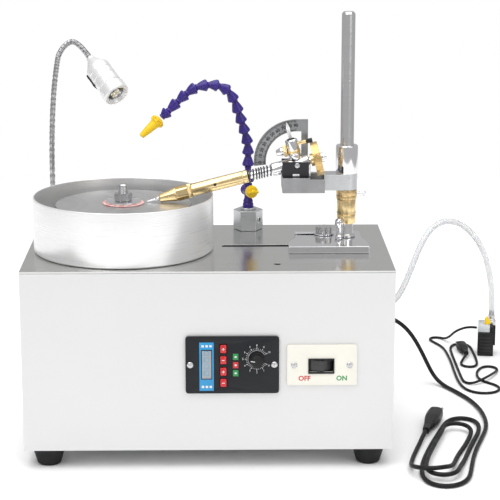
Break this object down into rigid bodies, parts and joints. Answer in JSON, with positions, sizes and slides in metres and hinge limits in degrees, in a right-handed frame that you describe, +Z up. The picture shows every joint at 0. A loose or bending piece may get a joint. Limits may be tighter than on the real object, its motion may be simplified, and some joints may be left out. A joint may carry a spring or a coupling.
{
  "type": "gem faceting and lap grinding machine",
  "caption": "Bench gem faceting machine: water-fed grinding lap in a splash bowl, faceting quill on a sliding mast, gooseneck lamp, flexible water jet, speed panel and rear pump.",
  "frame": {"origin": "on the bench under the middle of the machine without its cords and pump, at the soles of its rubber feet", "axes": "+X to the operator's right, -Y towards the operator, where the panel is, +Z up"},
  "size_m": [0.577, 0.5723, 0.4822],
  "materials": {
    "arm_aluminium": "satin machined",
    "black_oxide": "black, satin",
    "black_plastic": "fine texture",
    "blue_plastic": "violet blue",
    "bowl_steel": "polished outside, satin inside",
    "brass": "polished",
    "case_metal": "light grey satin",
    "chrome": "polished",
    "cord_rubber": "satin",
    "dark_steel": "dark grey, satin",
    "deck_steel": "brushed",
    "foot_rubber": "matte",
    "hose_clear": "clear, milky",
    "ivory_plastic": "ivory",
    "lamp_aluminium": "pale satin",
    "lap_aluminium": "fine turned face",
    "lens_glass": "dark lens",
    "motor_paint": "satin black",
    "panel_plastic": "charcoal",
    "paper": "paper",
    "red_plastic": "glossy red",
    "rocker_plastic": "glossy black",
    "steel_shaft": "machined",
    "yellow_plastic": "yellow"
  },
  "bodies": {
    "machine": {"case_shell": "case_metal", "deck_plate": "deck_steel", "foot_front_left": "foot_rubber", "foot_front_right": "foot_rubber", "foot_rear_left": "foot_rubber", "foot_rear_right": "foot_rubber", "splash_bowl": "bowl_steel", "drive_motor": "motor_paint", "lamp_base": "chrome", "water_manifold": "arm_aluminium", "valve_body": "blue_plastic", "control_panel": "panel_plastic", "switch_plate": "ivory_plastic", "cable_gland": "black_plastic", "hose_port": "brass", "mains_cord": "cord_rubber", "mains_cord_hank": "cord_rubber", "mains_plug": "black_plastic", "water_hose": "hose_clear", "water_pump": "black_plastic", "pump_cord": "cord_rubber", "pump_cord_hank": "cord_rubber", "pump_plug": "black_plastic"},
    "spindle": {"spindle_shaft": "steel_shaft", "lap_disc": "lap_aluminium", "paper_washer": "paper", "clamp_washer": "chrome", "spindle_nut": "chrome"},
    "lamp": {"lamp_gooseneck": "chrome", "lamp_head": "lamp_aluminium", "lamp_lens": "lens_glass"},
    "lamp_rocker": {"lamp_switch": "red_plastic"},
    "mast": {"mast_base": "chrome", "mast_clamp_bolt": "chrome", "mast_rod": "chrome", "graduated_sleeve": "brass"},
    "base_lock": {"mast_lock_screw": "chrome"},
    "height_stop": {"height_collar": "brass"},
    "collar_screw": {"collar_lock_screw": "chrome"},
    "arm": {"carriage_arm": "arm_aluminium", "yoke_block": "arm_aluminium", "pivot_cheeks": "black_oxide", "protractor": "dark_steel"},
    "tilt_head": {"quill_carrier": "chrome"},
    "trim": {"trim_screw": "brass"},
    "quill": {"quill_shaft": "chrome", "index_wheel": "brass", "quill_body": "brass", "quill_chuck": "brass", "dop_stick": "chrome", "quill_spring": "steel_shaft"},
    "valve_handle": {"valve_knob": "yellow_plastic"},
    "jet": {"jet_hose": "blue_plastic"},
    "nozzle": {"jet_nozzle": "yellow_plastic"},
    "speed_dial": {"speed_knob": "black_plastic"},
    "key_1": {"panel_key_1": "red_plastic"},
    "key_2": {"panel_key_2": "red_plastic"},
    "key_3": {"panel_key_3": "red_plastic"},
    "key_4": {"panel_key_4": "red_plastic"},
    "mains_rocker": {"rocker_switch": "rocker_plastic"}
  },
  "joints": [
    {"name": "lap_spin", "type": "hinge", "parent": "machine", "child": "spindle", "pos_m": [-0.094, -0.00825, 0.262], "axis": [0, 0, 1], "continuous": true},
    {"name": "lamp_swing", "type": "hinge", "parent": "machine", "child": "lamp", "pos_m": [-0.181, 0.08475, 0.2364], "axis": [0, 0, 1], "range_deg": [-30, 30]},
    {"name": "lamp_switch_rock", "type": "hinge", "parent": "lamp", "child": "lamp_rocker", "pos_m": [-0.12978, 0.05069, 0.39976], "axis": [0.348, 0.7828, -0.5158], "range_deg": [-8, 8]},
    {"name": "mast_slide", "type": "slide", "parent": "machine", "child": "mast", "axis": [1, 0, 0], "range_m": [0, 0.009]},
    {"name": "base_lock_turn", "type": "hinge", "parent": "mast", "child": "base_lock", "pos_m": [0.1465, -0.00025, 0.229], "axis": [0, 0, 1], "range_deg": [-90, 90]},
    {"name": "arm_height", "type": "slide", "parent": "mast", "child": "height_stop", "axis": [0, 0, 1], "range_m": [0, 0.14]},
    {"name": "collar_screw_turn", "type": "hinge", "parent": "height_stop", "child": "collar_screw", "pos_m": [0.1674, 0.01475, 0.2784], "axis": [1, 0, 0], "range_deg": [-180, 180]},
    {"name": "arm_swivel", "type": "hinge", "parent": "height_stop", "child": "arm", "pos_m": [0.1555, 0.01475, 0.2838], "axis": [0, 0, 1], "range_deg": [-12, 9]},
    {"name": "quill_tilt", "type": "hinge", "parent": "arm", "child": "tilt_head", "pos_m": [0.0986, -0.00525, 0.316], "axis": [0, 1, 0], "range_deg": [0, 25]},
    {"name": "trim_screw_turn", "type": "hinge", "parent": "tilt_head", "child": "trim", "pos_m": [0.0873, -0.00525, 0.33088], "axis": [-0.9694, 0, -0.2453], "range_deg": [-180, 180]},
    {"name": "quill_index", "type": "hinge", "parent": "tilt_head", "child": "quill", "pos_m": [0.0986, -0.00525, 0.316], "axis": [-0.9694, 0, -0.2453], "continuous": true},
    {"name": "valve_turn", "type": "hinge", "parent": "machine", "child": "valve_handle", "pos_m": [0.046, 0.08975, 0.2668], "axis": [0.4202, -0.9074, 0], "range_deg": [0, 90]},
    {"name": "jet_swivel", "type": "hinge", "parent": "machine", "child": "jet", "pos_m": [0.046, 0.08975, 0.276], "axis": [0, 0, 1], "range_deg": [-25, 25]},
    {"name": "nozzle_aim", "type": "hinge", "parent": "jet", "child": "nozzle", "pos_m": [-0.0525, 0.04795, 0.3595], "axis": [0.2582, 0.9606, 0.1033], "range_deg": [-15, 15]},
    {"name": "speed_turn", "type": "hinge", "parent": "machine", "child": "speed_dial", "pos_m": [0.0522, -0.11885, 0.1249], "axis": [0, -1, 0], "range_deg": [-280, 0]},
    {"name": "key_1_press", "type": "slide", "parent": "machine", "child": "key_1", "axis": [0, 1, 0], "range_m": [0, 0.0008], "stiffness_N_per_m": 1500},
    {"name": "key_2_press", "type": "slide", "parent": "machine", "child": "key_2", "axis": [0, 1, 0], "range_m": [0, 0.0008], "stiffness_N_per_m": 1500},
    {"name": "key_3_press", "type": "slide", "parent": "machine", "child": "key_3", "axis": [0, 1, 0], "range_m": [0, 0.0008], "stiffness_N_per_m": 1500},
    {"name": "key_4_press", "type": "slide", "parent": "machine", "child": "key_4", "axis": [0, 1, 0], "range_m": [0, 0.0008], "stiffness_N_per_m": 1500},
    {"name": "rocker_tip", "type": "hinge", "parent": "machine", "child": "mains_rocker", "pos_m": [0.1214, -0.11525, 0.1164], "axis": [0, 0, 1], "range_deg": [-14, 0]}
  ]
}
